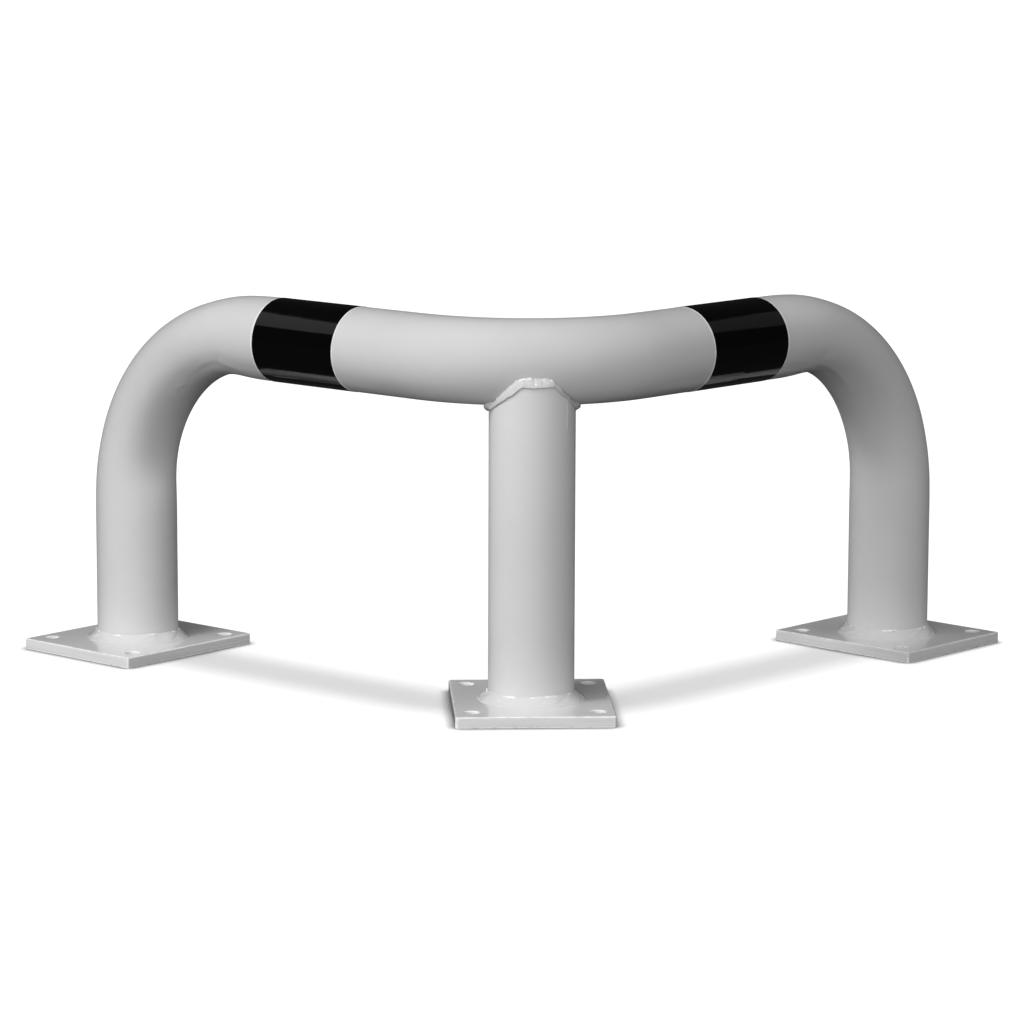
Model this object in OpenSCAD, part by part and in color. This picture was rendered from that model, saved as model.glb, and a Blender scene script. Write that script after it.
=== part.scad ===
// Hoop barrier for a corner: one bent tube with a leg at each end, a post under its corner bend,
// three base plates for floor bolts, the welds that join them, and two dark marking bands.
// Millimetres. The floor is Z = 0, the corner points along -Y, and the origin is under the corner bend.

/* [Tube] */
// Outer diameter of the hoop's tube
tube_d = 76; // [60:1:90]
// Wall thickness of the hoop's tube
tube_wall = 3; // [2:0.5:5]

/* [Hoop] */
// Height of the level bar's centre line above the floor
bar_height = 308; // [270:1:400]
// Length of each arm, from the hoop's sharp corner to the middle of the outer leg
arm_length = 495; // [470:1:700]
// Angle between the two arms, seen from above
corner_angle = 92; // [84:1:104]
// Centre-line radius of the bends down into the legs
leg_bend_r = 154; // [130:1:180]
// Centre-line radius of the corner bend
corner_bend_r = 135; // [120:1:160]

/* [Bend flattening] */
// Depth that the tube loses on the inner side of each bend
flat_inner = 4.5; // [0:0.5:7]
// Depth that the tube loses on the outer side of each bend
flat_outer = 3.5; // [0:0.5:7]
// How squarely the inner side is flattened, from round to boxy
flat_shoulder = 0.15; // [0:0.05:0.35]
// Length over which the flattening comes in at each end of a bend
flat_ramp = 72; // [40:2:100]

/* [Centre post] */
// Outer diameter of the centre post
post_d = 76; // [60:1:90]
// Wall thickness of the centre post
post_wall = 3; // [2:0.5:5]
// Height from the trimmed tips of the post's saddle cut up to the bar's centre line
saddle_tip_drop = 18; // [14:1:26]

/* [Base plates] */
// Longer side of each base plate
plate_long = 160; // [140:1:220]
// Shorter side of each base plate
plate_short = 140; // [125:1:200]
// Thickness of each base plate
plate_t = 10; // [6:1:16]
// Radius of the base plates' corners
plate_corner_r = 3; // [1:0.5:8]
// Diameter of the floor bolt holes
hole_d = 14; // [10:0.5:18]
// Distance between bolt holes along a plate's longer side
hole_gap_long = 120; // [114:1:136]
// Distance between bolt holes along a plate's shorter side
hole_gap_short = 110; // [104:1:118]

/* [Welds] */
// Leg length of the fillet weld at each foot
foot_weld = 8; // [4:0.5:10]
// How far the foot welds bulge past a flat face
foot_weld_bulge = 1; // [0:0.25:2]
// Leg length of the saddle weld between the post and the bar
saddle_weld = 7; // [4:0.5:9]
// How far the saddle weld's crown stands out past a flat face
saddle_weld_bulge = 1; // [0:0.25:2]
// Gap between the bar and what is fitted to it under the corner bend
root_gap = 0.3; // [0.25:0.05:0.5]

/* [Marking bands] */
// Width of the left marking band along the tube
band_width_left = 96.5; // [40:0.5:110]
// Width of the right marking band along the tube
band_width_right = 100.5; // [40:0.5:110]
// Thickness of the band's film
band_t = 0.3; // [0.2:0.1:1]
// Distance from the left leg's bend to its band
band_gap_left = 38.5; // [26:0.5:60]
// Distance from the right leg's bend to its band
band_gap_right = 48; // [26:0.5:60]

/* [Detail] */
// Sides of the tube's section
tube_sides = 32; // [24:4:40]
// Sections along each bend into a leg
leg_bend_steps = 12; // [8:1:16]
// Sections along each half of the corner bend
corner_bend_steps = 6; // [4:1:8]
// Sections around the saddle weld
weld_steps = 72; // [36:12:96]

/* [Hidden] */
$fn = 96;

tube_r = tube_d / 2;
post_r = post_d / 2;
up = [0, 0, 1];

// Each arm of the hoop turns by this angle over its half of the corner bend
half_turn = (180 - corner_angle) / 2;
// Level direction from the corner out along the right arm, and the level direction square to it
arm_dir = [cos(half_turn), sin(half_turn), 0];
arm_side = [sin(half_turn), -cos(half_turn), 0];
bend_centre = [0, corner_bend_r, bar_height];
sharp_corner = [0, corner_bend_r - corner_bend_r / cos(half_turn), bar_height];
leg_foot = [arm_length * arm_dir[0], sharp_corner[1] + arm_length * arm_dir[1], 0];

// Lengths along the right half of the centre line, from the floor up to the middle of the corner bend
leg_end = bar_height - leg_bend_r;
leg_bend_end = leg_end + leg_bend_r * PI / 2;
arm_straight = arm_length - leg_bend_r - corner_bend_r * tan(half_turn);
arm_end = leg_bend_end + arm_straight;
half_length = arm_end + corner_bend_r * half_turn * PI / 180;
// A third of each ramp lies on the straight tube beside the bend
ramp_outside = flat_ramp / 3;

// Smooth step from 0 to 1
function ease(t) = let (u = max(0, min(1, t))) u * u * (3 - 2 * u);

// How far the flattening has come in at a distance along the centre line, for a bend between two distances
function bend_weight(s, from, to) =
    ease((s - from + ramp_outside) / flat_ramp) * ease((to + ramp_outside - s) / flat_ramp);

// A station is [place, outward axis, sideways axis, flattening in the leg bend, flattening in the corner bend]
function station(s) =
    let (leg_w = bend_weight(s, leg_end, leg_bend_end),
         corner_w = bend_weight(s, arm_end, 2 * half_length - arm_end))
    s <= leg_end ? [leg_foot + s * up, arm_dir, arm_side, leg_w, corner_w]
    : s <= leg_bend_end ?
        let (a = (s - leg_end) / leg_bend_r * 180 / PI,
             out = cos(a) * arm_dir + sin(a) * up)
        [leg_foot + leg_end * up - leg_bend_r * arm_dir + leg_bend_r * out, out, arm_side, leg_w, corner_w]
    : s <= arm_end ?
        [leg_foot + bar_height * up - (leg_bend_r + s - leg_bend_end) * arm_dir, up, arm_side, leg_w, corner_w]
    :
        let (b = (half_length - s) / corner_bend_r * 180 / PI,
             out = [sin(b), -cos(b), 0])
        [bend_centre + corner_bend_r * out, up, out, leg_w, corner_w];

// Coordinate across the tube in the plane of a bend: positive lies on the outer side of the bend
function squashed(c, r, w) =
    c >= 0 ? (r - flat_outer * w) * c : -(r - flat_inner * w) * pow(-c, 1 - flat_shoulder * w);

// Closed section of the tube at a station, at radius r
function ring(st, r) = [
    for (k = [0 : tube_sides - 1])
        let (a = 360 * k / tube_sides,
             outward = squashed(cos(a), r, st[3]),
             sideways = squashed(sin(a), r, st[4]))
        st[0] + outward * st[1] + sideways * st[2]];

function mirrored(points) = [for (p = points) [-p[0], p[1], p[2]]];

// Distances from the floor to the middle of the corner bend at which the hoop has a section
hoop_stops = concat(
    [plate_t, leg_end - ramp_outside, leg_end - ramp_outside / 2],
    [for (i = [0 : leg_bend_steps]) leg_end + (leg_bend_end - leg_end) * i / leg_bend_steps],
    [leg_bend_end + ramp_outside / 2, leg_bend_end + ramp_outside,
     arm_end - ramp_outside, arm_end - ramp_outside / 2],
    [for (i = [0 : corner_bend_steps]) arm_end + (half_length - arm_end) * i / corner_bend_steps]);

// Tube wall between an outer and an inner row of rings, closed at both ends
module tube_wall_through(outer, inner) {
    n = len(outer[0]);
    rows = len(outer);
    skin = n * rows;
    points = [for (r = concat(outer, inner)) each r];
    outer_faces = [
        for (i = [0 : rows - 2], k = [0 : n - 1])
            let (a = i * n + k, b = i * n + (k + 1) % n)
            each [[a, b, b + n], [a, b + n, a + n]]];
    inner_faces = [for (f = outer_faces) [skin + f[0], skin + f[2], skin + f[1]]];
    end_faces = [
        for (k = [0 : n - 1])
            let (a = k, b = (k + 1) % n, top = n * (rows - 1))
            each [[b, a, skin + a], [b, skin + a, skin + b],
                  [top + a, top + b, skin + top + b], [top + a, skin + top + b, skin + top + a]]];
    polyhedron(points, concat(outer_faces, inner_faces, end_faces), convexity = 8);
}

// Bent tube: leg, bend, arm, corner bend, arm, bend, leg
module hoop_tube() {
    stations = [for (s = hoop_stops) station(s)];
    right_outer = [for (st = stations) ring(st, tube_r)];
    right_inner = [for (st = stations) ring(st, tube_r - tube_wall)];
    last = len(stations) - 2;
    color("gainsboro") tube_wall_through(
        concat(right_outer, [for (i = [last : -1 : 0]) mirrored(right_outer[i])]),
        concat(right_inner, [for (i = [last : -1 : 0]) mirrored(right_inner[i])]));
}

// Solid of the corner bend, grown by a clearance, for the post's saddle cut
module corner_bend_core(clearance) {
    section = [
        for (k = [0 : tube_sides - 1])
            let (a = 360 * k / tube_sides)
            [corner_bend_r + squashed(sin(a), tube_r + clearance, 1),
             (tube_r + clearance) * cos(a)]];
    translate(bend_centre)
        rotate([0, 0, -90 - half_turn])
            rotate_extrude(angle = 2 * half_turn) polygon(section);
}

// Post under the corner, with its top cut to the bar and the tips of the cut trimmed level
module centre_post() {
    color("gainsboro") difference() {
        translate([0, 0, plate_t])
            cylinder(r = post_r, h = tip_z - plate_t);
        cylinder(r = post_r - post_wall, h = bar_height);
        corner_bend_core(root_gap);
    }
}

// Base plate with rounded corners and four bolt holes, its longer side along Y
module base_plate() {
    corners = [
        for (q = [0 : 3], a = [0 : 15 : 90])
            let (sx = (q == 0 || q == 3) ? 1 : -1, sy = q < 2 ? 1 : -1)
            [sx * (plate_short / 2 - plate_corner_r) + plate_corner_r * cos(90 * q + a),
             sy * (plate_long / 2 - plate_corner_r) + plate_corner_r * sin(90 * q + a)]];
    color("gainsboro") difference() {
        linear_extrude(plate_t) polygon(corners);
        for (sx = [-1, 1], sy = [-1, 1])
            translate([sx * hole_gap_short / 2, sy * hole_gap_long / 2, -1])
                cylinder(d = hole_d, h = plate_t + 2);
    }
}

// Fillet weld around a tube that stands on its plate
module foot_weld_ring(r) {
    bulge_at = foot_weld / 2 + foot_weld_bulge / sqrt(2);
    color("silver") translate([0, 0, plate_t])
        rotate_extrude() polygon([[r, 0], [r + foot_weld, 0], [r + bulge_at, bulge_at], [r, foot_weld]]);
}

// Puts a child at an outer leg: side 1 is right and -1 is left. Its X axis lies along the arm.
module at_leg(side) {
    translate([side * leg_foot[0], leg_foot[1], 0])
        rotate([0, 0, side * half_turn]) children();
}

// Height of the trimmed tips of the post's cut, and the angle around the bar's section, from its underside,
// at which the weld over those tips starts
tip_z = bar_height - saddle_tip_drop;
tip_lean = acos((saddle_tip_drop - root_gap) / (tube_r + root_gap));

// Where the saddle cut meets the bar, on the bar's unrolled surface, at an angle around the post:
// [distance along the corner bend, distance around the section from its underside]
function seam(a) =
    let (rho = post_r + root_gap,
         reach = [rho * cos(a), corner_bend_r - rho * sin(a)],
         e = norm(reach) - corner_bend_r,
         skin = tube_r + root_gap,
         share = e > 0 ? e / (skin - flat_outer) : -pow(-e / (skin - flat_inner), 1 / (1 - flat_shoulder)),
         lean = asin(max(-1, min(1, share))))
    [corner_bend_r * atan2(reach[0], reach[1]) * PI / 180,
     tube_r * max(-tip_lean, min(tip_lean, lean)) * PI / 180];

// Point that stands off the bar's surface by a gap, from its place on the unrolled surface
function bar_point(uv, gap) =
    let (b = uv[0] / corner_bend_r * 180 / PI,
         lean = uv[1] / tube_r * 180 / PI,
         reach = corner_bend_r + squashed(sin(lean), tube_r + gap, 1))
    bend_centre + reach * [sin(b), -cos(b), 0] - (tube_r + gap) * cos(lean) * up;

// Section of the saddle weld at an angle around the post: up the bar, over the crown and down to the post
function weld_section(a) =
    let (root_uv = seam(a),
         ahead = seam(a + 2) - seam(a - 2),
         toe_uv = root_uv + saddle_weld * [-ahead[1], ahead[0]] / norm(ahead),
         root = bar_point(root_uv, root_gap),
         middle = bar_point((root_uv + toe_uv) / 2, root_gap),
         toe = bar_point(toe_uv, root_gap),
         radial = [cos(a), sin(a), 0],
         drop = saddle_weld * ease((tip_z + root_gap - root[2]) / saddle_weld),
         foot = (post_r + root_gap) * radial + (root[2] - drop) * up,
         across = [(foot - toe) * radial, foot[2] - toe[2]],
         crown = (toe + foot) / 2 + saddle_weld_bulge * (-across[1] * radial + across[0] * up) / norm(across))
    [root, middle, toe, crown, foot];

// Weld bead that follows the post's saddle cut
module saddle_weld() {
    sections = [for (i = [0 : weld_steps - 1]) weld_section(360 * i / weld_steps)];
    n = len(sections[0]);
    faces = [
        for (i = [0 : weld_steps - 1], k = [0 : n - 1])
            let (j = (i + 1) % weld_steps, m = (k + 1) % n)
            each [[i * n + k, j * n + m, i * n + m], [i * n + k, j * n + k, j * n + m]]];
    color("silver") polyhedron([for (section = sections) each section], faces, convexity = 6);
}

// Ring at any distance along the hoop, on the straight lines between the hoop's own sections
function skin_ring(s, r) =
    let (i = max([for (k = [0 : len(hoop_stops) - 2]) if (hoop_stops[k] <= s) k]),
         t = (s - hoop_stops[i]) / (hoop_stops[i + 1] - hoop_stops[i]))
    (1 - t) * ring(station(hoop_stops[i]), r) + t * ring(station(hoop_stops[i + 1]), r);

// Sleeve of thin film around the tube, starting at a distance along the centre line
module marking_band(from, width, side) {
    to = from + width;
    stops = concat(from, [for (s = hoop_stops) if (s > from && s < to) s], to);
    outer = [for (s = stops) skin_ring(s, tube_r + band_t)];
    inner = [for (s = stops) skin_ring(s, tube_r)];
    color("black") mirror([side < 0 ? 1 : 0, 0, 0]) tube_wall_through(outer, inner);
}

module base_plate_left() { at_leg(-1) base_plate(); }
module base_plate_centre() { base_plate(); }
module base_plate_right() { at_leg(1) base_plate(); }
module foot_weld_left() { at_leg(-1) foot_weld_ring(tube_r); }
module foot_weld_centre() { foot_weld_ring(post_r); }
module foot_weld_right() { at_leg(1) foot_weld_ring(tube_r); }
module marking_band_left() { marking_band(leg_bend_end + band_gap_left, band_width_left, -1); }
module marking_band_right() { marking_band(leg_bend_end + band_gap_right, band_width_right, 1); }

hoop_tube();
centre_post();
base_plate_left();
base_plate_centre();
base_plate_right();
foot_weld_left();
foot_weld_centre();
foot_weld_right();
saddle_weld();
marking_band_left();
marking_band_right();
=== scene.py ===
import bmesh
import bpy
import numpy as np
from mathutils import Matrix


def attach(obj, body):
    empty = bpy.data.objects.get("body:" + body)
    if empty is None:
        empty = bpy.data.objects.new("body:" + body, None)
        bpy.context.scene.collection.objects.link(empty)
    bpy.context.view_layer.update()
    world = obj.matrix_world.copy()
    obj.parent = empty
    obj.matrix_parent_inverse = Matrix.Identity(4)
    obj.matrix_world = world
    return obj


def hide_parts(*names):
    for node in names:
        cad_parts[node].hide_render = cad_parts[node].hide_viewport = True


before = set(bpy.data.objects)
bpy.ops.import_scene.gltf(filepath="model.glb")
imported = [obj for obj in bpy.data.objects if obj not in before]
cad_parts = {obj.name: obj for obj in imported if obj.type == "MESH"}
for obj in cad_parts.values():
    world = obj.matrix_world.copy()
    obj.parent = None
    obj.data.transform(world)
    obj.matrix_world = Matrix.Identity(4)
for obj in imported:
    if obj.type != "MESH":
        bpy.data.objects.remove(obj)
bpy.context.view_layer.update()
print("frame loaded with", len(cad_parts), "nodes")

# Lengths in the dictionaries are millimetres and angles are degrees, unless a note says otherwise.
# The X axis runs from the left leg to the right one, the corner points along -Y, and the floor is at zero.

hoop = {
    "tubeRadius": 38.0,
    "wall": 3.0,
    "barHeight": 308.0,  # level centre line above the floor
    "armLength": 495.0,  # from the sharp corner to the leg's middle
    "cornerAngle": 92.0,  # between the arms, seen from above
    "legBendRadius": 154.0,
    "cornerBendRadius": 135.0,
    "flatInner": 4.5,  # depth lost on the inner side of a bend
    "flatOuter": 3.5,  # depth lost on the outer side
    "flatShoulder": 0.15,  # how far the inner side's shoulders are squared
    "flatRamp": 72.0,  # length over which the flattening comes in
    "ringStep": 2.1,  # between the rings of the skin
    "boreStep": 16.8,  # between the rings of the hidden inner wall
    "ringPoints": 128,
    "paintedLightTop": 290.0,  # the painted light on the lower parts begins here and is full a fade lower
    "paintedLightFade": 130.0,
}

plate = {
    "short": 140.0,
    "long": 160.0,
    "thickness": 10.0,
    "holeRadius": 7.0,
    "holeGapShort": 110.0,  # between the holes' middles, along the short side
    "holeGapLong": 120.0,
    "cornerCentre": 3.0,  # corner radius of the centre plate
    "cornerOuter": 1.6,  # corner radius of the two outer plates
    "holeBevel": 0.5,
    "edgeBevel": 1.3,  # rounding of the upper edge
    "sharpBevel": 0.25,  # chamfer of the lower edge
    "highlightStrip": 1.1,  # height of the strip along the lower edge that is painted pale as a highlight
    "cornerWear": 0.8,  # how rubbed the upright corners are, where the edges are 1
    "throatHighlight": 0.45,  # share of a hole's depth, from the top, painted pale as a highlight
    "sidePoints": 26,  # along half a side
    "cornerPoints": 9,
    "bevelPoints": 6,
    "faceRows": 12,  # from a hole's lip to the outline
}

print("stage: shared forms")
up = np.array([0.0, 0.0, 1.0])
halfTurn = np.radians((180 - hoop["cornerAngle"]) / 2)
armDirection = np.array([np.cos(halfTurn), np.sin(halfTurn), 0.0])
bendCentre = np.array([0.0, hoop["cornerBendRadius"], hoop["barHeight"]])
sharpCornerY = hoop["cornerBendRadius"] * (1 - 1 / np.cos(halfTurn))
legFoot = hoop["armLength"] * armDirection + np.array([0.0, sharpCornerY, 0.0])

# distances along the right half of the centre line, from the floor up
legEnd = hoop["barHeight"] - hoop["legBendRadius"]
legBendEnd = legEnd + hoop["legBendRadius"] * np.pi / 2
straightArm = hoop["armLength"] - hoop["legBendRadius"] - hoop["cornerBendRadius"] * np.tan(halfTurn)
armEnd = legBendEnd + straightArm
halfLength = armEnd + hoop["cornerBendRadius"] * halfTurn


def ease(t):
    # smooth step: zero below 0, one above 1, 3t^2 - 2t^3 between
    u = np.clip(t, 0, 1)
    return u * u * (3 - 2 * u)


def bump(x, middle, width):
    # bell curve of height one
    return np.exp(-((x - middle) / width) ** 2)


def fullTurn(count):
    # evenly spaced angles once round a ring
    return np.linspace(0, 2 * np.pi, count, endpoint=False)


def uneven(angle, waves, seed):
    # sum of sines round a ring, each with a seeded phase and a height that falls with its wave number,
    # brought to a height of about one
    rng = np.random.default_rng(seed)
    waves = np.array(waves, float)
    phase = rng.uniform(0, 2 * np.pi, len(waves))
    height = rng.uniform(0.6, 1.0, len(waves)) / np.sqrt(waves)
    total = (height * np.sin(waves * angle[..., None] + phase)).sum(-1)
    return total / np.sqrt((height ** 2).sum() / 2) / 2


def raised(along, angle, radius, marks):
    # sum of soft ridges on a tube's unrolled skin (or creases, where the height is minus): each follows the
    # straight line between its two places and falls off as a bell curve of the distance to it, times
    # 0.55 + 0.45 sin(pi share) along the line, which makes its ends lower
    across, perDegree, endShare = angle * radius, np.radians(radius), 0.55
    total = 0 * (along + across)
    for (startAlong, startTurn), (endAlong, endTurn), width, height in marks:
        startAcross = startTurn * perDegree
        run, rise = endAlong - startAlong, endTurn * perDegree - startAcross
        share = ((along - startAlong) * run + (across - startAcross) * rise) / (run ** 2 + rise ** 2)
        share = np.clip(share, 0, 1)
        gap = np.hypot(along - startAlong - share * run, across - startAcross - share * rise)
        total = total + height * bump(gap, 0, width) * (endShare + (1 - endShare) * np.sin(np.pi * share))
    return total


def bendWeight(s, start, end):
    # share of a bend's flattening at a distance along the tube: an ease in before it and an ease out after it
    outside = hoop["flatRamp"] / 3
    return ease((s - start + outside) / hoop["flatRamp"]) * ease((end + outside - s) / hoop["flatRamp"])


def squashed(c, r, weight):
    # offset across the tube in a bend's plane: the outer side is the circle made shallower,
    # the inner side is made shallower and raised to a power below one, which squares its shoulders
    outer = (r - hoop["flatOuter"] * weight) * c
    inner = -(r - hoop["flatInner"] * weight) * np.maximum(-c, 1e-9) ** (1 - hoop["flatShoulder"] * weight)
    return np.where(c >= 0, outer, inner)


def hoopSkin(distance, angle, radius):
    # place + outward * (squashed cosine) + sideways * (squashed sine), for every distance along the whole
    # hoop, right foot to left, and every angle round its section; the left half is the right one mirrored
    s = halfLength - np.abs(distance - halfLength)
    legTurn = np.clip((s - legEnd) / hoop["legBendRadius"], 0, np.pi / 2)[..., None]
    cornerTurn = np.clip((halfLength - s) / hoop["cornerBendRadius"], 0, halfTurn)[..., None]
    outward = np.cos(legTurn) * armDirection + np.sin(legTurn) * up
    sideways = np.concatenate([np.sin(cornerTurn), -np.cos(cornerTurn), 0 * cornerTurn], -1)
    legPlace = legFoot + np.minimum(s, legEnd)[..., None] * up
    bendPlace = legPlace + hoop["legBendRadius"] * (outward - armDirection)
    armPlace = bendPlace - np.maximum(s - legBendEnd, 0)[..., None] * armDirection
    cornerPlace = bendCentre + hoop["cornerBendRadius"] * sideways
    place = np.where((s > armEnd)[..., None], cornerPlace, armPlace)
    legWeight = bendWeight(s, legEnd, legBendEnd)
    cornerWeight = bendWeight(s, armEnd, 2 * halfLength - armEnd)
    skin = (place + squashed(np.cos(angle), radius, legWeight)[..., None] * outward
            + squashed(np.sin(angle), radius, cornerWeight)[..., None] * sideways)
    skin[..., 0] *= np.where(distance > halfLength, -1, 1)
    return skin


def turned(radius, angle, height):
    # points round the post's axis, from radius and angle to X and Y
    return np.stack([radius * np.cos(angle), radius * np.sin(angle), height], -1)


def atLeg(points, side):
    # from the axes of an outer foot to its place under a leg: side 1 is right and -1 is left
    turn = side * halfTurn
    rotation = np.array([[np.cos(turn), np.sin(turn), 0], [-np.sin(turn), np.cos(turn), 0], [0, 0, 1]])
    return points @ rotation + legFoot * [side, 1, 1]


def gridFaces(rows, columns, wrapRows=False, wrapColumns=False):
    # four-cornered faces between neighbouring rows and columns of a grid
    i = np.arange(rows if wrapRows else rows - 1)[:, None]
    j = np.arange(columns if wrapColumns else columns - 1)[None, :]
    below, above = i * columns, (i + 1) % rows * columns
    left, right = j, (j + 1) % columns
    return np.stack([below + left, below + right, above + right, above + left], -1).reshape(-1, 4)


def addPiece(name, points, faces, material, replaced, values):
    # mesh in metres at the origin, which rides on the frame and stands for its CAD node; points within a
    # micrometre are merged, and values are the attributes that its material reads, one number for each point
    mesh = bpy.data.meshes.new(name)
    mesh.from_pydata(points.reshape(-1, 3) * 0.001, [], faces)
    for key, value in values.items():
        layer = mesh.attributes.new(key, "FLOAT", "POINT")
        layer.data.foreach_set("value", np.ravel(value).astype(np.float32))
    shell = bmesh.new()
    shell.from_mesh(mesh)
    bmesh.ops.remove_doubles(shell, verts=shell.verts, dist=1e-6)
    bmesh.ops.recalc_face_normals(shell, faces=shell.faces)
    shell.to_mesh(mesh)
    shell.free()
    mesh.polygons.foreach_set("use_smooth", np.ones(len(mesh.polygons), bool))
    mesh.materials.append(material)
    piece = bpy.data.objects.new(name, mesh)
    bpy.context.scene.collection.objects.link(piece)
    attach(piece, "root")
    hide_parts(replaced)
    print("piece", name, "has", len(mesh.polygons), "faces")


def addRing(name, points, material, replaced, values):
    # piece whose grid closes on itself both ways: round each ring, and from the last ring to the first
    addPiece(name, points, gridFaces(*points.shape[:2], wrapRows=True, wrapColumns=True), material,
             replaced, values)


print("stage: materials")


def makeNode(tree, kind, settings=None, **links):
    # a node whose inputs are set to values, or linked where a value is another node's output:
    # _0 stands for the first input, and an underscore inside a name for a space
    made = tree.nodes.new(kind)
    for key, value in (settings or {}).items():
        setattr(made, key, value)
    for key, value in links.items():
        socket = made.inputs[int(key[1:])] if key[0] == "_" else made.inputs[key.replace("_", " ")]
        if isinstance(value, bpy.types.NodeSocket):
            tree.links.new(value, socket)
        else:
            socket.default_value = value
    return made


def makeGroup(name, inputs, outputs):
    # a node group with numbers in and out: the group, the values it is given and the results it hands on
    group = bpy.data.node_groups.new(name, "ShaderNodeTree")
    for label, value in inputs.items():
        socket = group.interface.new_socket(label, in_out="INPUT", socket_type="NodeSocketFloat")
        socket.default_value = value
    for label in outputs:
        group.interface.new_socket(label, in_out="OUTPUT", socket_type="NodeSocketFloat")
    return group, group.nodes.new("NodeGroupInput").outputs, group.nodes.new("NodeGroupOutput").inputs


def makeMaterial(name):
    # a material without nodes, and its tree
    material = bpy.data.materials.new(name)
    material.use_nodes = True
    material.node_tree.nodes.clear()
    return material, material.node_tree


def readAttribute(tree, name):
    # a piece's own value of that name, zero where it has none
    return makeNode(tree, "ShaderNodeAttribute", {"attribute_name": name}).outputs["Fac"]


def readPlace(tree):
    # the place on the piece, in metres from the origin
    return makeNode(tree, "ShaderNodeTexCoord").outputs["Object"]


def addNoise(tree, place, scale, detail, **more):
    # soft noise between 0 and 1, with about so many lumps to a metre as its scale says
    return makeNode(tree, "ShaderNodeTexNoise", Vector=place, Scale=scale, Detail=detail, **more).outputs[0]


def multiply(tree, first, second):
    # first times second
    return makeNode(tree, "ShaderNodeMath", {"operation": "MULTIPLY"}, _0=first, _1=second).outputs[0]


def mixGreys(tree, share, first, second):
    # (1 - share) times first plus share times second
    return makeNode(tree, "ShaderNodeMix", {"data_type": "FLOAT"}, _0=share, _2=first, _3=second).outputs[0]


def spread(tree, noise, low, high):
    # noise mostly stays between 0.3 and 0.7: that range brought to low and high
    return makeNode(tree, "ShaderNodeMapRange", Value=noise, From_Min=0.3, From_Max=0.7, To_Min=low,
                    To_Max=high).outputs[0]


coat = {
    "wornAndHighlightGrey": 0.95,  # grey of rubbed edges and of painted highlights on edges and weld crests
    "wearAndHighlightScale": 160.0,
    "paintedLight": 0.18,  # share by which the lower parts are painted paler, as light that falls stronger on them
    "toneChange": 0.03,  # share by which the tone drifts up and down
    "toneScale": 9.0,
    "roughnessChange": 0.02,
    "waveScale": 95.0,  # of the slow waves under the orange peel
    "waveShare": 0.6,
    "lineScale": 700.0,  # of the level lines, from line to line
    "lineStretch": 14.0,  # and along a line
    "clearRoughness": 0.06,
}
# settings of the coat: gloss is the specular level, lines is how much the level lines of a cut face show,
# clear is the weight of a thin glossy skin, and the orange peel's depth is in metres
finishes = {
    "tube": {"grey": 0.55, "roughness": 0.45, "gloss": 0.15, "wearAndHighlight": 0.5, "lines": 0.0, "clear": 0.3,
             "peelScale": 420.0, "peelDepth": 0.000012},
    # painted light: the plates' paler grey stands in for the light that the floor bounces onto them and that
    # falls from above
    "plate": {"grey": 0.76, "roughness": 0.09, "gloss": 0.5, "wearAndHighlight": 2.4, "lines": 0.06, "clear": 0.0,
              "peelScale": 420.0, "peelDepth": 0.000012},
    "saddle": {"grey": 0.55, "roughness": 0.13, "gloss": 0.5, "wearAndHighlight": 1.7, "lines": 0.0, "clear": 0.0,
               "peelScale": 190.0, "peelDepth": 0.00016},
    # the foot welds are a paler grey than the saddle bead
    "foot": {"grey": 0.61, "roughness": 0.13, "gloss": 0.5, "wearAndHighlight": 1.7, "lines": 0.0, "clear": 0.0,
             "peelScale": 190.0, "peelDepth": 0.00016},
}


def makeCoatGrain():
    # orange-peel height of a sprayed coat, a slow change of tone, and fine level lines on upright cut faces
    inputs = {"Peel Scale": finishes["tube"]["peelScale"], "Tone Scale": coat["toneScale"],
              "Line Scale": coat["lineScale"]}
    group, given, result = makeGroup("coatGrain", inputs, ["Height", "Tone", "Lines"])
    place = readPlace(group)
    peel = addNoise(group, place, given["Peel Scale"], 2.0, Roughness=0.45)
    wave = addNoise(group, place, coat["waveScale"], 1.0)
    height = makeNode(group, "ShaderNodeMath", {"operation": "MULTIPLY_ADD"}, _0=wave, _1=coat["waveShare"],
                      _2=peel)
    parts = makeNode(group, "ShaderNodeSeparateXYZ", Vector=place).outputs
    stretched = makeNode(group, "ShaderNodeCombineXYZ", X=multiply(group, parts["X"], coat["lineStretch"]),
                         Y=parts["Y"], Z=multiply(group, parts["Z"], given["Line Scale"]))
    group.links.new(height.outputs[0], result["Height"])
    group.links.new(addNoise(group, place, given["Tone Scale"], 4.0, Roughness=0.6), result["Tone"])
    group.links.new(addNoise(group, stretched.outputs[0], 1.0, 3.0), result["Lines"])
    return group


def makeEdgeWearAndHighlight():
    # mask of the rubbed edges and of the painted highlights on plate edges and weld crests: a piece's own
    # edge value, broken up by fine noise whose middle range is stretched to 0 and 1, times the amount
    group, given, result = makeGroup("edgeWearAndHighlight", {"Amount": 0.5, "Scale": coat["wearAndHighlightScale"]}, ["Mask"])
    noise = addNoise(group, readPlace(group), given["Scale"], 3.0)
    broken = makeNode(group, "ShaderNodeMapRange", Value=noise, From_Min=0.35, From_Max=0.65).outputs[0]
    paleWearAndHighlight = multiply(group, readAttribute(group, "edge"), broken)
    mask = makeNode(group, "ShaderNodeMath", {"operation": "MULTIPLY", "use_clamp": True}, _0=paleWearAndHighlight,
                    _1=given["Amount"])
    group.links.new(mask.outputs[0], result["Mask"])
    return group


coatGrain = makeCoatGrain()
edgeWearAndHighlight = makeEdgeWearAndHighlight()


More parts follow.
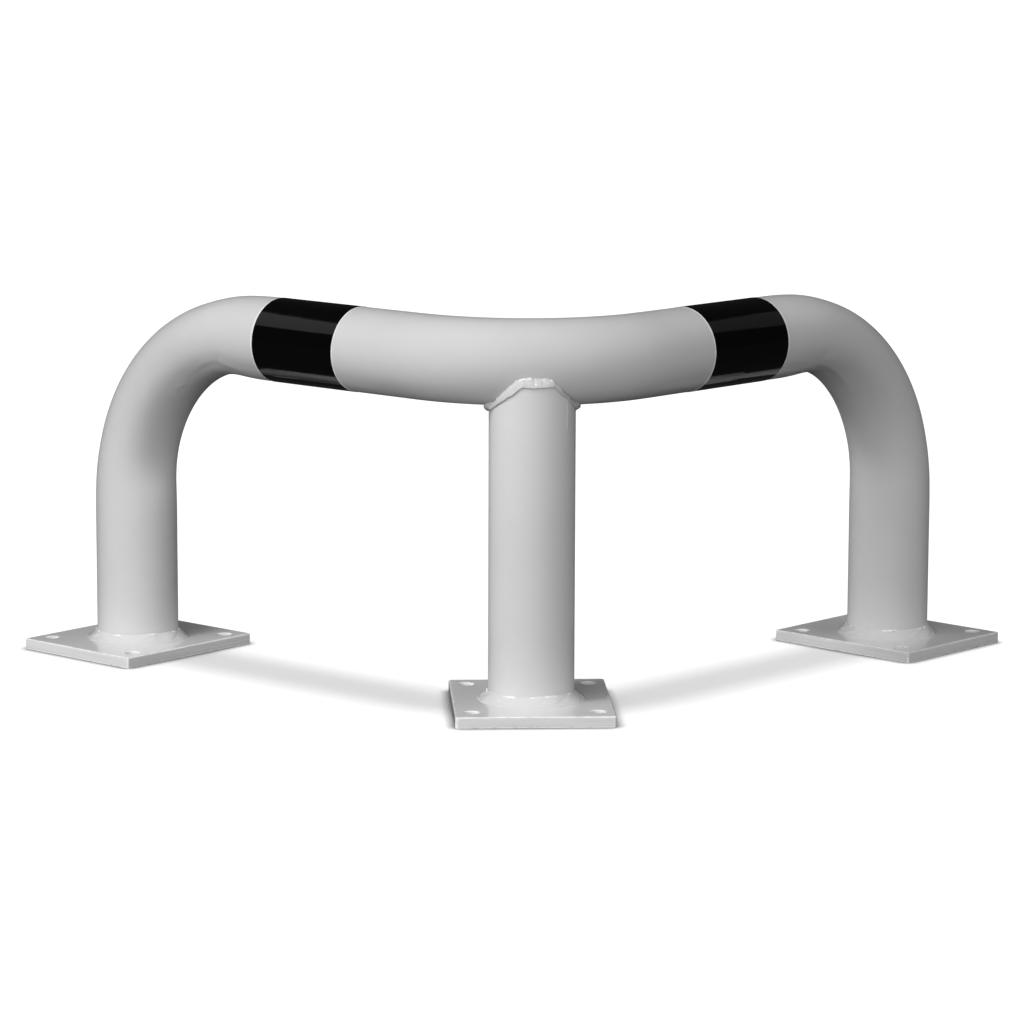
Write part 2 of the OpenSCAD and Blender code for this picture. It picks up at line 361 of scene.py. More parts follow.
def makeCoat(name, finish):
    # powder coat: its tone and roughness drift slowly, lines and painted light on the lower parts change the
    # tone, rubbed edges and painted highlights are paler, and the peel is bump
    material, tree = makeMaterial(name)
    grain = makeNode(tree, "ShaderNodeGroup", {"node_tree": coatGrain},
                     Peel_Scale=finish["peelScale"]).outputs
    wearAndHighlight = makeNode(tree, "ShaderNodeGroup", {"node_tree": edgeWearAndHighlight}, Amount=finish["wearAndHighlight"]).outputs
    tone = spread(tree, grain["Tone"], finish["grey"] * (1 - coat["toneChange"]),
                  finish["grey"] * (1 + coat["toneChange"]))
    lines = spread(tree, grain["Lines"], 1 - finish["lines"], 1 + finish["lines"])
    paler = makeNode(tree, "ShaderNodeMath", {"operation": "MULTIPLY_ADD"}, _0=readAttribute(tree, "paintedLight"),
                     _1=coat["paintedLight"], _2=lines)
    grey = mixGreys(tree, wearAndHighlight["Mask"], multiply(tree, tone, paler.outputs[0]), coat["wornAndHighlightGrey"])
    rough = spread(tree, grain["Tone"], finish["roughness"] - coat["roughnessChange"],
                   finish["roughness"] + coat["roughnessChange"])
    relief = makeNode(tree, "ShaderNodeBump", Height=grain["Height"], Strength=1.0,
                      Distance=finish["peelDepth"])
    shader = makeNode(tree, "ShaderNodeBsdfPrincipled", Base_Color=grey, Roughness=rough,
                      Specular_IOR_Level=finish["gloss"], Normal=relief.outputs[0],
                      Coat_Weight=finish["clear"], Coat_Roughness=coat["clearRoughness"])
    makeNode(tree, "ShaderNodeOutputMaterial", Surface=shader.outputs[0])
    return material


powderCoat = makeCoat("powderCoat", finishes["tube"])
plateCoat = makeCoat("plateCoat", finishes["plate"])
paintedSaddle = makeCoat("paintedSaddle", finishes["saddle"])
paintedFoot = makeCoat("paintedFoot", finishes["foot"])

film = {
    "black": 0.0012,
    "edge": 0.74,  # grey of the pale rim at its two ends
    "smoothest": 0.04,
    "roughest": 0.12,
    "smearScale": 60.0,
    "waveScale": 24.0,
    "waveDepth": 0.00012,  # metres
}


def makeFilm():
    # glossy black film whose surface waves a little over the tube, with a pale rim at each end
    material, tree = makeMaterial("glossFilm")
    place = readPlace(tree)
    grey = mixGreys(tree, readAttribute(tree, "rim"), film["black"], film["edge"])
    smear = addNoise(tree, place, film["smearScale"], 5.0, Roughness=0.7)
    rough = spread(tree, smear, film["smoothest"], film["roughest"])
    wave = addNoise(tree, place, film["waveScale"], 2.0)
    relief = makeNode(tree, "ShaderNodeBump", Height=wave, Strength=1.0, Distance=film["waveDepth"])
    shader = makeNode(tree, "ShaderNodeBsdfPrincipled", Base_Color=grey, Roughness=rough,
                      Normal=relief.outputs[0])
    makeNode(tree, "ShaderNodeOutputMaterial", Surface=shader.outputs[0])
    return material


glossFilm = makeFilm()

print("stage: bent tube")
# marks left by the bending and in the paint: two places as (distance along the tube, degrees round it), then
# the half width and the height; distances count from the floor under the right leg, and degrees from the
# outer side of a leg and its bend, which is the bar's upper side, towards the front
tubeMarks = [
    ((1033, 111), (1038, 121), 3.0, -0.55),  # notch in the left bend's inner side
    ((1084, 132), (1042, 120), 2.8, 0.30),
    ((1074, 137), (1040, 127), 2.8, -0.30),
    ((1036, 125), (1014, 136), 3.6, 0.60),
    ((1110, 146), (1117, 145), 3.0, 0.60),
    ((1128, 142), (1138, 163), 2.6, 0.55),
    ((1150, 160), (1040, 128), 5.0, -0.25),
    ((1229, 142), (1290, 143), 3.2, 0.14),
    ((397, 52), (345, 71), 2.6, 0.34),  # thin line high on the right bend
    ((393, 72), (378, 76), 2.4, 0.14),
    ((379, 108), (388, 124), 3.0, -0.45),  # crease in the right bend's inner side
    ((383, 120), (346, 135), 4.6, 0.50),
    ((430, 120), (395, 127), 3.2, 0.30),
    ((392, 128), (289, 163), 3.6, 0.70),
    ((384, 140), (300, 172), 5.0, -0.45),
    ((285, 147), (280, 150), 3.2, 0.30),
    ((225, 161), (150, 166), 3.4, -0.20),
    ((205, 139), (20, 139), 3.0, 0.12),
]


def makeHoop():
    # rings of the marked skin from the right foot to the left one, then rings of the bore all the way back
    first, last = plate["thickness"], 2 * halfLength - plate["thickness"]
    angle = fullTurn(hoop["ringPoints"])[None, :]
    along = np.linspace(first, last, int(2 * halfLength / hoop["ringStep"]))[:, None]
    back = np.linspace(last, first, int(2 * halfLength / hoop["boreStep"]))[:, None]
    lift = raised(along, angle, hoop["tubeRadius"], tubeMarks)
    skin = hoopSkin(along + 0 * angle, angle + 0 * along, hoop["tubeRadius"] + lift)
    bore = hoopSkin(back + 0 * angle, angle + 0 * back, hoop["tubeRadius"] - hoop["wall"])
    return np.concatenate([skin, bore])


tube = makeHoop()
# painted light: the tube is painted paler towards the floor, as light that falls stronger there
paintedLight = ease((hoop["paintedLightTop"] - tube[..., 2]) / hoop["paintedLightFade"])
addRing("hoopTube", tube, powderCoat, "hoop_tube", {"paintedLight": paintedLight})

print("stage: centre post")
post = {
    "radius": 38.0,
    "wall": 3.0,
    "topRise": 2.5,  # from the saddle bead's lower edge up to the post's top, which lies behind the bead
    "points": 300,
    "rows": 96,
}
# runs in the post's paint: two places as (height, degrees round it, 270 at the front), then the half width
# and how far the run stands out
postMarks = [
    ((277, 320.7), (252, 320.7), 1.2, 0.55),
    ((277, 326.5), (262, 326.5), 1.1, 0.30),
    ((96, 339), (84, 339), 1.6, 0.40),
]

saddleWeld = {
    "toeFront": 33.3,  # distance of the bead's upper edge from the post's axis, at the front and back
    "toeBack": 1.0,  # less than that at the back
    "toeFlank": 36.6,  # the same on its way down
    "flankOver": 42.0,  # angle from the front over which it grows to that
    "toeSide": 42.0,  # the same at the sides, where the bead lies under the bar
    "sideFrom": 62.0,  # angle from the front at which it starts to grow to that
    "sideOver": 24.0,  # and the angle over which it does
    "toeChange": 0.22,  # uneven run of the upper edge
    "levelDrop": 18.0,  # from the bar's centre line to the bead's lower edge, where that runs level
    "levelLeft": 16.0,  # that level stretch reaches so far round to the left
    "levelRight": 27.0,
    "sideDrop": 43.0,  # from the bar's centre line to the lower edge at the sides
    "footChange": 0.55,  # uneven run of the lower edge
    "lip": 1.5,  # how far the lower edge stands off the post
    "lipChange": 0.25,
    "bulge": 1.3,
    "bulgeChange": 0.25,
    "ragged": 0.6,  # height of the crest's ragged bits
    "mottle": 0.08,  # height of the shallow lumps, which are five times as high on the smooth flank
    "pebbles": 0.5,  # height of the small lumps there
    "crestPlace": 0.12,  # this and the next three are shares of the way down the section
    "crestWidth": 0.06,
    "glintPlace": 0.16,  # of the crest's line painted pale as glints
    "glintWidth": 0.07,
    "glintStrength": 1.8,
    "smoothFrom": 0.5,  # cosine of the angle at which the right flank starts to run smoothly into the post
    "smoothFade": 0.25,
    "smoothLip": 0.55,  # share of the lip that is lost there
    "seed": 5,
    "points": 640,
    "rows": 26,
}


def underBar(angle, radius):
    # height of the bar's underside over a point at an angle and radius round the post:
    # the plan distance from the corner's centre line gives the lean round the bar's flattened section
    plan = np.stack([radius * np.cos(angle), hoop["cornerBendRadius"] - radius * np.sin(angle)], -1)
    e = np.linalg.norm(plan, axis=-1) - hoop["cornerBendRadius"]
    outer = np.maximum(e, 0) / (hoop["tubeRadius"] - hoop["flatOuter"])
    inner = np.maximum(-e, 0) / (hoop["tubeRadius"] - hoop["flatInner"])
    inner = -inner ** (1 / (1 - hoop["flatShoulder"]))
    lean = np.arcsin(np.clip(np.where(e > 0, outer, inner), -1, 1))
    return hoop["barHeight"] - hoop["tubeRadius"] * np.cos(lean)


def sideTurn(angle):
    # degrees from the front or back of the post, 90 at its sides: the arc sine of |cos angle|
    return np.degrees(np.arcsin(np.abs(np.cos(angle))))


def beadFoot(angle):
    # height of the saddle bead's lower edge: level at the front and back, then falling to the sides by
    # 1 - (1 - u)^1.5, steeply at first
    level = np.where(np.cos(angle) > 0, saddleWeld["levelRight"], saddleWeld["levelLeft"])
    u = np.clip((sideTurn(angle) - level) / (90 - level), 0, 1)
    fall = (saddleWeld["sideDrop"] - saddleWeld["levelDrop"]) * (1 - (1 - u) ** 1.5)
    return hoop["barHeight"] - saddleWeld["levelDrop"] - fall


def makePost():
    # rings of the marked skin from the plate up to behind the saddle bead, then rings of the bore down again
    angle = fullTurn(post["points"])
    share = np.linspace(0, 1, post["rows"])[:, None]
    z = plate["thickness"] + share * (beadFoot(angle) + post["topRise"] - plate["thickness"])
    skin = post["radius"] + raised(z, angle, post["radius"], postMarks)
    bore = 0 * z + post["radius"] - post["wall"]
    radius = np.concatenate([skin, bore])
    return turned(radius, angle + 0 * radius, np.concatenate([z, z[::-1]]))


wall = makePost()
# painted light: the whole post is painted paler, as light that falls stronger on it
addRing("centrePost", wall, powderCoat, "centre_post", {"paintedLight": np.ones(wall.shape[:2])})

print("stage: base plates")


def plateEdge(inset, corner):
    # outer edge of a quarter plate: up its long side, round its corner and back along its short side
    halfShort, halfLong, r = plate["short"] / 2 - inset, plate["long"] / 2 - inset, corner - inset
    side = np.linspace(0, halfLong - r, plate["sidePoints"], endpoint=False)
    end = np.linspace(halfShort - r, 0, plate["sidePoints"] + 1)[1:]
    a = np.linspace(0, np.pi / 2, plate["cornerPoints"])
    x = np.concatenate([0 * side + halfShort, halfShort - r + r * np.cos(a), end])
    y = np.concatenate([side, halfLong - r + r * np.sin(a), 0 * end + halfLong])
    return np.stack([x, y], -1)


def upperBevel(size):
    # (inset, height) over a quarter-round upper edge: one minus sine in, and one minus cosine down
    a = np.linspace(0, np.pi / 2, plate["bevelPoints"])
    return np.stack([size * (1 - np.sin(a)), plate["thickness"] - size * (1 - np.cos(a))], -1)


def plateFace(corner):
    # a quarter plate as straight lines from its bolt hole to its outline, (1 - v) lip + v outline: from the
    # outline inwards on top, down the hole, and outwards again underneath; the hole's upper part is painted
    # pale as a highlight
    thickness = plate["thickness"]
    hole = np.array([plate["holeGapShort"], plate["holeGapLong"]]) / 2
    outer = plateEdge(plate["edgeBevel"], corner)
    end = np.linspace(0, outer[0, 0], plate["sidePoints"] + 1)[1:-1]
    side = np.linspace(0, outer[-1, 1], plate["sidePoints"] + 1)[1:-1]
    loop = np.concatenate([np.zeros((1, 2)), np.stack([end, 0 * end], -1), outer,
                           np.stack([0 * side, side], -1)[::-1]])
    away = loop - hole
    direction = away / np.linalg.norm(away, axis=-1, keepdims=True)
    lip, rows = plate["holeRadius"] + plate["holeBevel"], plate["faceRows"]
    v = np.linspace(0, 1, rows)[:, None, None]
    face = hole + v * away + (1 - v) * lip * direction
    bevel = upperBevel(plate["holeBevel"])
    shaft = np.concatenate([bevel, (bevel * [1, -1] + [0, thickness])[::-1]])
    throat = hole + (plate["holeRadius"] + shaft[:, 0])[:, None, None] * direction
    flat = np.concatenate([face[::-1], throat, face])
    z = np.concatenate([np.full(rows, thickness), shaft[:, 1], np.zeros(rows)])[:, None] + 0 * flat[..., 0]
    # painted highlight: the upper part of a hole's wall is marked to be painted pale
    paleWearAndHighlight = (z < thickness) & (z > thickness * (1 - plate["throatHighlight"]))
    return np.concatenate([flat, z[..., None]], -1), paleWearAndHighlight.astype(float)


def plateRim(corner):
    # the edge's section carried round a quarter's outline: a quarter-round upper edge, an upright face, a
    # strip painted pale as a highlight and a sharp lower edge; close rows keep the lower edge crisp
    strip, sharp, bevel = plate["highlightStrip"], plate["sharpBevel"], plate["edgeBevel"]
    upright = [[0, 1.2 * strip], [0, strip], [0, 1.2 * sharp], [0, sharp]]
    section = np.concatenate([upperBevel(bevel), upright, [[sharp, 0], [bevel, 0]]])
    flat = np.stack([plateEdge(inset, corner) for inset in section[:, 0]])
    z = section[:, 1][:, None] + 0 * flat[..., 0]
    # the upper edge is marked as rubbed wear together with a painted highlight, the strip below as painted
    # highlight
    paleWearAndHighlight = np.clip(section[:, 0] / bevel, 0, 1)[:, None]
    paleWearAndHighlight[z[:, :1] <= strip] = 1
    atCorner = (flat[0, :, 0] > plate["short"] / 2 - corner) & (flat[0, :, 1] > plate["long"] / 2 - corner)
    paleWearAndHighlight = np.maximum(paleWearAndHighlight, plate["cornerWear"] * atCorner[None, :])
    return np.concatenate([flat, z[..., None]], -1), paleWearAndHighlight


def makePlate(corner):
    # four mirrored quarters, each a face with its bolt hole and a rim
    points, faces, edge, count = [], [], [], 0
    for signs in ([1, 1, 1], [-1, 1, 1], [-1, -1, 1], [1, -1, 1]):
        for (grid, paleWearAndHighlight), closed in ((plateFace(corner), True), (plateRim(corner), False)):
            quads = gridFaces(*grid.shape[:2], wrapColumns=closed)
            points.append((grid * signs).reshape(-1, 3))
            faces.append(quads[:, ::signs[0] * signs[1]] + count)
            edge.append(paleWearAndHighlight.ravel())
            count += paleWearAndHighlight.size
    return np.concatenate(points), np.concatenate(faces), np.concatenate(edge)


points, faces, edge = makePlate(plate["cornerCentre"])
addPiece("basePlateCentre", points, faces, plateCoat, "base_plate_centre", {"edge": edge})
points, faces, edge = makePlate(plate["cornerOuter"])
addPiece("basePlateLeft", atLeg(points, -1), faces, plateCoat, "base_plate_left",
         {"edge": edge})
addPiece("basePlateRight", atLeg(points, 1), faces, plateCoat, "base_plate_right",
         {"edge": edge})

print("stage: foot welds")
footWeld = {
    "rise": 8.4,  # up the tube
    "reach": 9.0,  # across the plate
    "legChange": 0.8,  # how far rise and reach drift
    "hollow": 0.52,  # 0.5 is a straight chord, more is full
    "hollowChange": 0.04,
    "lumps": 0.26,  # height of the broad lumps
    "fineShare": 0.5,  # of that, for the fine lumps
    "crest": 1.0,  # height of the broken ridge along the upper edge
    "crestGaps": 0.05,  # more breaks it into shorter lengths
    "crestPlace": 0.12,  # this and the next six are shares of the way from the tube to the plate
    "crestDrift": 0.03,
    "crestWidth": 0.075,
    "glintPlace": 0.1,
    "glintWidth": 0.05,
    "toePlace": 0.78,
    "toeWidth": 0.16,
    "glintStrength": 2.5,
    "toe": 0.5,  # height of the rounded lower edge
    "toeChange": 0.4,  # share by which that drifts
    "swellOut": 0.72,  # shares of each lump's height that go outwards and upwards
    "swellUp": 0.70,
    "inTube": 0.6,  # how far the weld's back lies inside the tube's wall
    "inPlate": 0.3,  # how far its underside lies inside the plate
    "seedLeft": 11,
    "seedCentre": 23,
    "seedRight": 37,
    "points": 720,
    "rows": 34,
}


def makeFootBead(radius, seed):
    # section: curve from the tube down to the plate, (1-q)^2 top + 2q(1-q) middle + q^2 toe; its legs drift
    # round the tube, lumps lie across it, and a ridge, broken into short lengths, runs along its top with
    # pale glints painted on it
    a = fullTurn(footWeld["points"])[None, :]
    q = np.linspace(0, 1, footWeld["rows"])[:, None]
    rise = footWeld["rise"] + footWeld["legChange"] * uneven(a, [2, 3, 5, 9, 14], seed)
    reach = footWeld["reach"] + footWeld["legChange"] * uneven(a, [2, 4, 7, 12, 19], seed + 1)
    hollow = footWeld["hollow"] + footWeld["hollowChange"] * uneven(a, [2, 5, 8], seed + 2)
    out = reach * (2 * q * (1 - q) * hollow + q ** 2)
    above = rise * ((1 - q) ** 2 + 2 * q * (1 - q) * hollow)
    broken = np.clip(uneven(a, [7, 12, 19, 31], seed + 4) - footWeld["crestGaps"], 0, 1)
    crestPlace = footWeld["crestPlace"] + footWeld["crestDrift"] * uneven(a, [9, 17], seed + 7)
    crest = footWeld["crest"] * broken * bump(q, crestPlace, footWeld["crestWidth"])
    wide = uneven(a + 0.6 * q, [9, 15, 24], seed + 3)
    fine = uneven(a - 0.9 * q, [37, 52, 71], seed + 6) * np.sin(2.5 * np.pi * q)
    lumps = footWeld["lumps"] * (wide + footWeld["fineShare"] * fine) * np.sin(np.pi * q) ** 0.5
    toe = footWeld["toe"] * ease((q - footWeld["toePlace"]) / footWeld["toeWidth"])
    toe = toe * (1 + footWeld["toeChange"] * uneven(a, [11, 17, 26], seed + 5))
    swell = crest + lumps + toe
    r = radius + out + footWeld["swellOut"] * swell
    z = plate["thickness"] + above + footWeld["swellUp"] * swell
    # painted highlight: pale glints along the ridge, where it is not broken
    paleWearAndHighlight = np.clip(footWeld["glintStrength"] * broken, 0, 1)
    paleWearAndHighlight = paleWearAndHighlight * bump(q, footWeld["glintPlace"], footWeld["glintWidth"])
    # the weld's hidden back and underside close the section
    back, under = 0 * a + radius - footWeld["inTube"], 0 * a + plate["thickness"] - footWeld["inPlate"]
    r = np.concatenate([back, r, r[-1:] + 0.15, r[-1:], back])
    z = np.concatenate([z[:1] + 0.3, z, 0 * a + plate["thickness"] + 0.1, under, under])
    return turned(r, a + 0 * r, z), np.concatenate([0 * a, paleWearAndHighlight, 0 * a, 0 * a, 0 * a])


bead, paleWearAndHighlight = makeFootBead(hoop["tubeRadius"], footWeld["seedLeft"])
addRing("footWeldLeft", atLeg(bead, -1), paintedFoot, "foot_weld_left", {"edge": paleWearAndHighlight})
bead, paleWearAndHighlight = makeFootBead(post["radius"], footWeld["seedCentre"])
addRing("footWeldCentre", bead, paintedFoot, "foot_weld_centre", {"edge": paleWearAndHighlight})
bead, paleWearAndHighlight = makeFootBead(hoop["tubeRadius"], footWeld["seedRight"])
addRing("footWeldRight", atLeg(bead, 1), paintedFoot, "foot_weld_right", {"edge": paleWearAndHighlight})

print("stage: saddle weld")


def beadToe(angle):
    # distance of the saddle bead's upper edge from the post's axis: it grows down the flanks, again towards
    # the sides, and is a little less round the back
    t = sideTurn(angle)
    flank = (saddleWeld["toeFlank"] - saddleWeld["toeFront"]) * ease(t / saddleWeld["flankOver"])
    side = ease((t - saddleWeld["sideFrom"]) / saddleWeld["sideOver"])
    side = side * (saddleWeld["toeSide"] - saddleWeld["toeFlank"])
    back = saddleWeld["toeBack"] * np.where(np.sin(angle) > 0, 1 - t / 90, 0)
    return saddleWeld["toeFront"] + flank + side - back


def makeSaddleBead(seed):
    # section in each upright plane through the post's axis: from a ragged toe on the bar's skin over a
    # rounded shoulder and a flat face to a lip that stands off the post, under it, and back inside the joint
    a = fullTurn(saddleWeld["points"])
    q = np.linspace(0, 1, saddleWeld["rows"])[:, None]
    smooth = ease((np.cos(a) - saddleWeld["smoothFrom"]) / saddleWeld["smoothFade"])  # one on the right flank
    toeRadius = beadToe(a) + saddleWeld["toeChange"] * uneven(a, [9, 14, 23, 34, 61, 83], seed)
    toeHeight = underBar(a, toeRadius) + 0.1
    footHeight = beadFoot(a) + saddleWeld["footChange"] * uneven(a, [11, 17, 26, 35], seed + 1)
    lip = saddleWeld["lip"] + saddleWeld["lipChange"] * uneven(a, [7, 19, 29], seed + 2)
    lip = lip * (1 - saddleWeld["smoothLip"] * smooth)
    belly = saddleWeld["bulge"] + saddleWeld["bulgeChange"] * uneven(a, [8, 13, 21], seed + 3)
    shoulder = (1 - (1 - q) ** 5) * (1 - q ** 3)
    crest = bump(q, saddleWeld["crestPlace"], saddleWeld["crestWidth"])
    ragged = np.clip(uneven(a + 0.5 * q, [29, 43, 61], seed + 4), -0.2, 1) * crest
    mottle = np.sin(np.pi * q) * uneven(a + 0.4 * q, [13, 21, 33], seed + 6) * (1 + 4 * smooth)
    pebbles = np.sin(np.pi * q) * uneven(a - 1.1 * q, [41, 59, 77], seed + 9) * smooth
    swell = (shoulder * belly + saddleWeld["ragged"] * ragged + saddleWeld["mottle"] * mottle
             + saddleWeld["pebbles"] * pebbles)
    lean = np.arctan2(post["radius"] + lip - toeRadius, toeHeight - footHeight)
    r = toeRadius + q * (post["radius"] + lip - toeRadius) + swell * np.cos(lean)
    z = toeHeight + q * (footHeight + 0.6 - toeHeight) + swell * np.sin(lean)
    # the hidden back: under the lip, up behind it, into the post's wall, up the joint, into the bar's wall
    backRadius = [post["radius"] + 0.75 * lip, post["radius"] + 0.3 + 0 * a, post["radius"] - 0.6 + 0 * a,
                  np.minimum(toeRadius, post["radius"]) - 2, toeRadius - 0.8]
    backHeight = [footHeight, footHeight + 0.5, footHeight + 0.9, np.maximum(footHeight + 1.5, toeHeight - 4),
                  toeHeight - 0.2]
    # painted highlight: pale glints along the crest
    paleWearAndHighlight = np.clip(saddleWeld["glintStrength"] * uneven(a, [9, 16, 25], seed + 8), 0, 1)
    paleWearAndHighlight = paleWearAndHighlight * bump(q, saddleWeld["glintPlace"], saddleWeld["glintWidth"])
    r, z = np.concatenate([r, backRadius]), np.concatenate([z, backHeight])
    return turned(r, a + 0 * r, z), np.concatenate([paleWearAndHighlight, np.zeros((len(backRadius), len(a)))])


bead, paleWearAndHighlight = makeSaddleBead(saddleWeld["seed"])
addRing("saddleWeld", bead, paintedSaddle, "saddle_weld", {"edge": paleWearAndHighlight})

print("stage: marking bands")
bands = {
    "thickness": 0.3,
    "rimThickness": 0.2,
    "rimOuter": 1.9,  # pale strip beyond the dark film at its end towards the leg
    "rimInner": 1.0,  # the same at its end towards the corner
    "edge": 0.08,  # between the close rings at each edge
    "step": 0.01,  # length over which the film's thickness begins
    "inside": 0.2,  # how far the ends lie inside the tube's skin
    "left": (37.2, 97.8),  # distance from the leg's bend, and width
    "right": (47.0, 100.5),
    "ringStep": 1.6,
    "points": 160,
}


def makeBand(gap, width, side):
    # sleeve on the hoop's own skin: the dark film, a thinner pale rim beyond each end, and closed ends;
    # close pairs of rings keep each edge sharp
    start, end, edge, step = legBendEnd + gap, legBendEnd + gap + width, bands["edge"], bands["step"]
    first, last = start - bands["rimOuter"], end + bands["rimInner"]
    outerRim = [first, first, first + edge, start - edge, start, start + step]
    innerRim = [end - step, end, end + edge, last - edge, last, last]
    dark = np.linspace(start + edge, end - edge, int(width / bands["ringStep"]))
    s = np.concatenate([outerRim, dark, innerRim])
    pale = (s <= start) | (s >= end)
    lift = np.where(pale, bands["rimThickness"], bands["thickness"])
    lift[[0, -1]] = -bands["inside"]
    angle = fullTurn(bands["points"])
    s, angle = s[:, None] + 0 * angle, angle + 0 * s[:, None]
    points = hoopSkin(s if side > 0 else 2 * halfLength - s, angle, hoop["tubeRadius"] + lift[:, None])
    return points, pale[:, None] + 0 * angle


sleeve, pale = makeBand(*bands["left"], -1)
addRing("markingBandLeft", sleeve, glossFilm, "marking_band_left", {"rim": pale})
sleeve, pale = makeBand(*bands["right"], 1)
addRing("markingBandRight", sleeve, glossFilm, "marking_band_right", {"rim": pale})

print("stage: floor")
floor = {
    "size": 30.0,  # metres
    "bounce": 0.02,  # grey for light that reaches the object from the floor: the studio is dark round it
    "mirrored": 0.01,  # share of the white floor that the gloss of the paint shows
    "seenGrey": 0.9,  # grey that takes the shadows
    "seenGlow": 0.23,  # glow that brings it up to white
    "contactReach": 0.011,  # metres from a plate over which the floor darkens
    "contactDepth": 1.5,  # it darkens by so many times the hidden share of the sky
}


def backgroundShare(tree):
    # one for rays from the camera or through glass, a small share for mirrored rays, zero for all other light
    rays = makeNode(tree, "ShaderNodeLightPath").outputs
    gloss = multiply(tree, rays["Is Glossy Ray"], floor["mirrored"])
    clear = makeNode(tree, "ShaderNodeMath", {"operation": "MAXIMUM"}, _0=rays["Is Camera Ray"],
                     _1=rays["Is Transmission Ray"])
    share = makeNode(tree, "ShaderNodeMath", {"operation": "MAXIMUM"}, _0=clear.outputs[0], _1=gloss)
    return share.outputs[0]


def makeFloorMaterial():
    # white where the camera sees it, with the object's shadow kept; a plain floor for all other light;
    # the share of the sky that a near plate hides darkens the floor close to it
    material, tree = makeMaterial("studioFloor")
    near = makeNode(tree, "ShaderNodeAmbientOcclusion", {"samples": 8}, Distance=floor["contactReach"])
    shade = makeNode(tree, "ShaderNodeMapRange", Value=near.outputs["AO"],
                     From_Min=1 - 1 / floor["contactDepth"]).outputs[0]
    plain = makeNode(tree, "ShaderNodeBsdfDiffuse", Color=[floor["bounce"]] * 3 + [1])
    lit = makeNode(tree, "ShaderNodeBsdfDiffuse", Color=multiply(tree, shade, floor["seenGrey"]))
    level = multiply(tree, shade, floor["seenGlow"])
    glow = makeNode(tree, "ShaderNodeEmission", Color=[1, 1, 1, 1], Strength=level)
    seen = makeNode(tree, "ShaderNodeAddShader", _0=lit.outputs[0], _1=glow.outputs[0])
    mixed = makeNode(tree, "ShaderNodeMixShader", _0=backgroundShare(tree), _1=plain.outputs[0],
                     _2=seen.outputs[0])
    makeNode(tree, "ShaderNodeOutputMaterial", Surface=mixed.outputs[0])
    return material


half = floor["size"] / 2
floorMesh = bpy.data.meshes.new("floor")
corners = [[-half, -half, 0], [half, -half, 0], [half, half, 0], [-half, half, 0]]
floorMesh.from_pydata(corners, [], [[0, 1, 2, 3]])
floorMesh.materials.append(makeFloorMaterial())
floorObject = bpy.data.objects.new("floor", floorMesh)
bpy.context.scene.collection.objects.link(floorObject)

floorOnly = bpy.data.collections.new("floorOnly")  # what the two overhead suns light
floorOnly.objects.link(floorObject)
objectOnly = bpy.data.collections.new("objectOnly")  # all but the floor, for the other lamps
objectOnly.objects.link(floorObject)
objectOnly.collection_objects[0].light_linking.link_state = "EXCLUDE"
weldsOnly = bpy.data.collections.new("weldsOnly")  # for the small lamp that makes the welds glint
for name in ("footWeldLeft", "footWeldCentre", "footWeldRight", "saddleWeld"):
    weldsOnly.objects.link(bpy.data.objects[name])

print("stage: light")
# soft boxes: bearing in degrees from the front (minus is left), height angle, distance from the target in
# metres, width and height in metres, and power in watts
lamps = {
    "frontLeftBox": (-20, 12, 2.2, 1.6, 1.2, 16.6),
    "leftHighBox": (-60, 52, 2.2, 1.3, 0.9, 8.7),
    "keyBox": (-57, 49, 2.2, 0.5, 0.5, 17.8),
    "broadLeft": (-30, 30, 2.2, 3.0, 2.4, 7.9),
    "broadFront": (-5, 20, 2.2, 3.6, 2.0, 5.5),
    "frontLowBox": (0, 0, 2.2, 3.0, 0.4, 6.7),
    "leftLowBox": (-68, 8, 2.2, 1.0, 0.9, 4.7),
    "leftNearBox": (-80, 2, 1.3, 1.0, 0.4, 0.6),
    "rightBox": (68, 30, 2.2, 1.0, 0.9, 7.1),
    "rightLowBox": (68, 8, 2.2, 1.0, 0.9, 1.5),
    "rightHighBox": (100, 55, 2.2, 1.2, 0.9, 7.2),
}
# boxes that the film and the paint mirror
strips = {
    "backLeftStrip": (-118, 38, 2.45, 1.96, 0.6, 1.6),
    "backRightStrip": (112, 33, 2.4, 0.9, 0.7, 0.24),
}
spark = (-30, 48, 2.2, 0.16, 0.16, 4.5)  # small box for the welds
target = np.array([0.0, 0.12, 0.18])  # metres


def addLamp(name, bearing, height, distance, width, tall, power, lit=objectOnly, mirrored=False):
    # soft box that faces the target from (sin bearing cos height, -cos bearing cos height, sin height) times
    # the distance; it lights one collection, and the gloss may mirror it or not
    light = bpy.data.lights.new(name, "AREA")
    light.shape = "RECTANGLE"
    light.size, light.size_y = width, tall
    light.energy = power
    lamp = bpy.data.objects.new(name, light)
    turn, lift = np.radians([bearing, height])
    back = np.array([np.sin(turn) * np.cos(lift), -np.cos(turn) * np.cos(lift), np.sin(lift)])
    side = np.cross(up, back)
    side /= np.linalg.norm(side)
    axes = np.stack([side, np.cross(back, side), back], -1)
    lamp.matrix_world = Matrix.Translation(target + distance * back) @ Matrix(axes.tolist()).to_4x4()
    lamp.light_linking.receiver_collection = lit
    lamp.visible_camera = False
    lamp.visible_glossy = mirrored
    bpy.context.scene.collection.objects.link(lamp)


for name, lamp in lamps.items():
    addLamp(name, *lamp)
for name, lamp in strips.items():
    addLamp(name, *lamp, mirrored=True)
addLamp("weldSpark", *spark, lit=weldsOnly, mirrored=True)

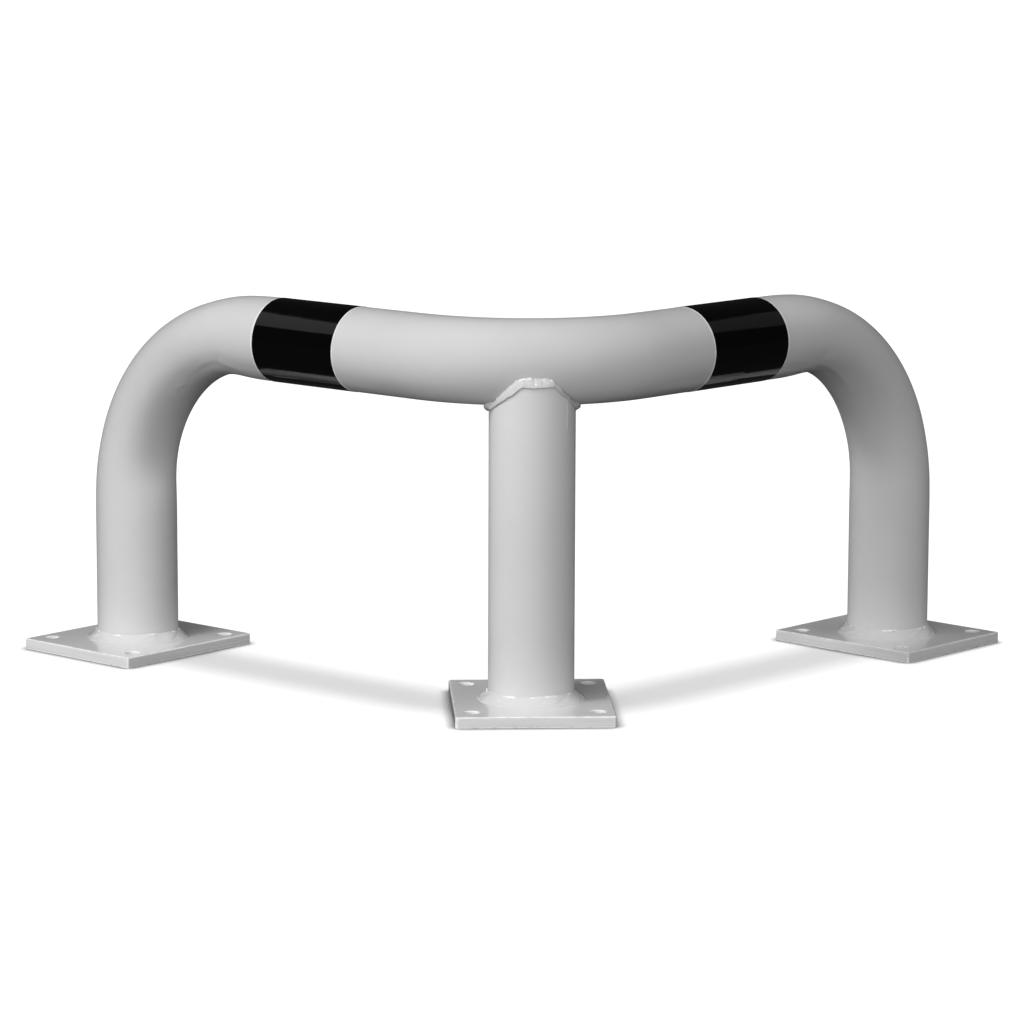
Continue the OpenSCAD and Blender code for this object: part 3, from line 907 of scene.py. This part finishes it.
# two suns from straight above light the floor alone: a narrow one for the shadow's core and a wide one for
# its edge
overhead = {
    "narrowSun": {"power": 1.18, "angle": 10.0},
    "wideSun": {"power": 1.95, "angle": 160.0},
}
for name, values in overhead.items():
    sun = bpy.data.lights.new(name, "SUN")
    sun.energy = values["power"]
    sun.angle = np.radians(values["angle"])
    sunObject = bpy.data.objects.new(name, sun)
    sunObject.light_linking.receiver_collection = floorOnly
    bpy.context.scene.collection.objects.link(sunObject)

surround = {"glow": 0.01}  # level of the dark studio round the object
world = bpy.data.worlds.new("studio")
bpy.context.scene.world = world
world.use_nodes = True
tree = world.node_tree
tree.nodes.clear()
strength = mixGreys(tree, backgroundShare(tree), surround["glow"], 1.0)
background = makeNode(tree, "ShaderNodeBackground", Color=[1, 1, 1, 1], Strength=strength)
makeNode(tree, "ShaderNodeOutputWorld", Surface=background.outputs[0])

print("stage: camera")
view = {
    "place": (-0.20022, -3.58432, 0.78085),  # metres
    "yaw": 2.9205,
    "pitch": 9.5674,  # down
    "roll": 0.1914,
    "lens": 146.386,
    "sensor": 36.0,
    "farthest": 50.0,  # metres
}


def addCamera():
    # looks along (sin yaw cos pitch, cos yaw cos pitch, -sin pitch), rolled about that line
    yaw, pitch, roll = np.radians([view["yaw"], view["pitch"], view["roll"]])
    ahead = np.array([np.sin(yaw) * np.cos(pitch), np.cos(yaw) * np.cos(pitch), -np.sin(pitch)])
    right = np.array([np.cos(yaw), -np.sin(yaw), 0])
    over = np.cross(right, ahead)
    rolledRight = np.cos(roll) * right + np.sin(roll) * over
    rolledOver = np.cos(roll) * over - np.sin(roll) * right
    axes = np.stack([rolledRight, rolledOver, -ahead], -1)
    data = bpy.data.cameras.new("camera")
    data.lens = view["lens"]
    data.sensor_width = view["sensor"]
    data.clip_end = view["farthest"]
    camera = bpy.data.objects.new("camera", data)
    camera.matrix_world = Matrix.Translation(view["place"]) @ Matrix(axes.tolist()).to_4x4()
    bpy.context.scene.collection.objects.link(camera)
    bpy.context.scene.camera = camera


addCamera()
bpy.context.scene.view_settings.view_transform = "Standard"

print("stage: done")
